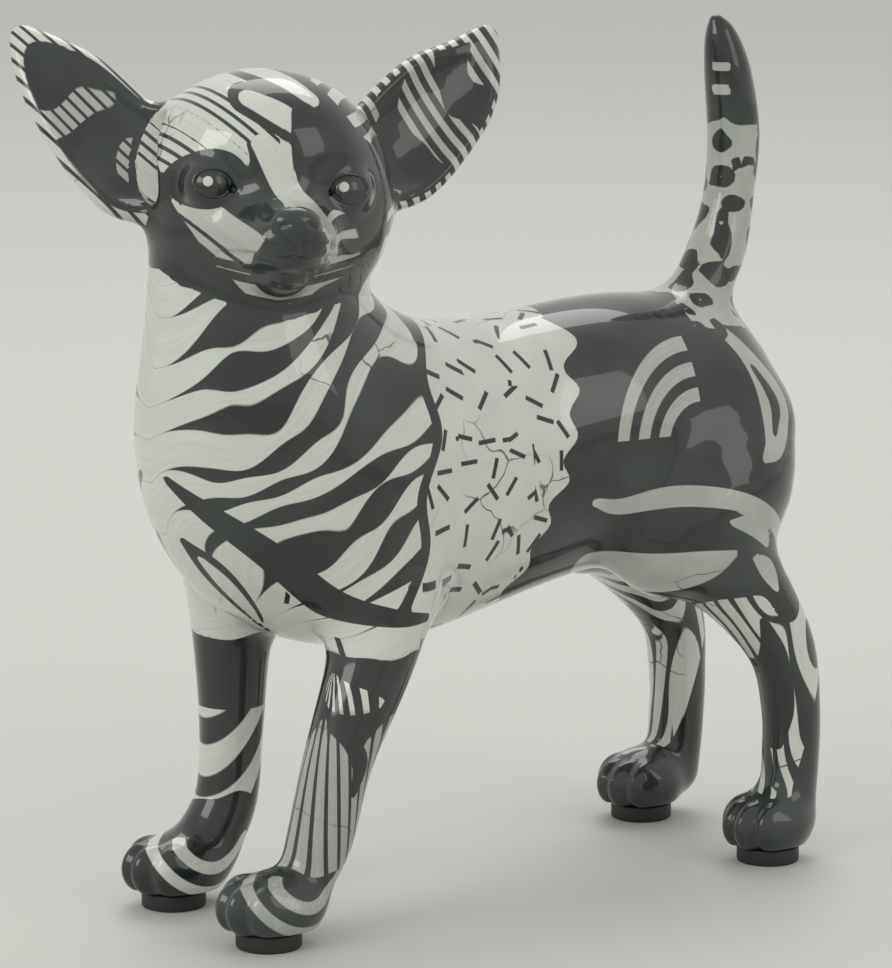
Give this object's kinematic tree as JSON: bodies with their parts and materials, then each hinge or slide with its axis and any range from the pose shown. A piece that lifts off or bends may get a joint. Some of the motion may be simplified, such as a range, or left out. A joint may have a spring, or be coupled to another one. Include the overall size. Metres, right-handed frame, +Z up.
{
  "type": "resin dog figurine",
  "caption": "Standing chihuahua figurine of cast resin with large pricked ears and a raised tail, on round rubber foot pads, in a glossy black and white print.",
  "frame": {"origin": "on the ground, under the middle of the whole object's box", "axes": "+Z up, +Y towards the tail, +X to the dog's left"},
  "size_m": [0.0806, 0.194, 0.2098],
  "materials": {
    "printed_gloss": "cast resin with a black and off-white transfer print under a high-gloss clear coat",
    "pad_rubber": "matt black"
  },
  "bodies": {
    "root": {"dog_figure": "printed_gloss", "pad_left_fore": "pad_rubber", "pad_right_fore": "pad_rubber", "pad_left_hind": "pad_rubber", "pad_right_hind": "pad_rubber"}
  },
  "joints": []
}
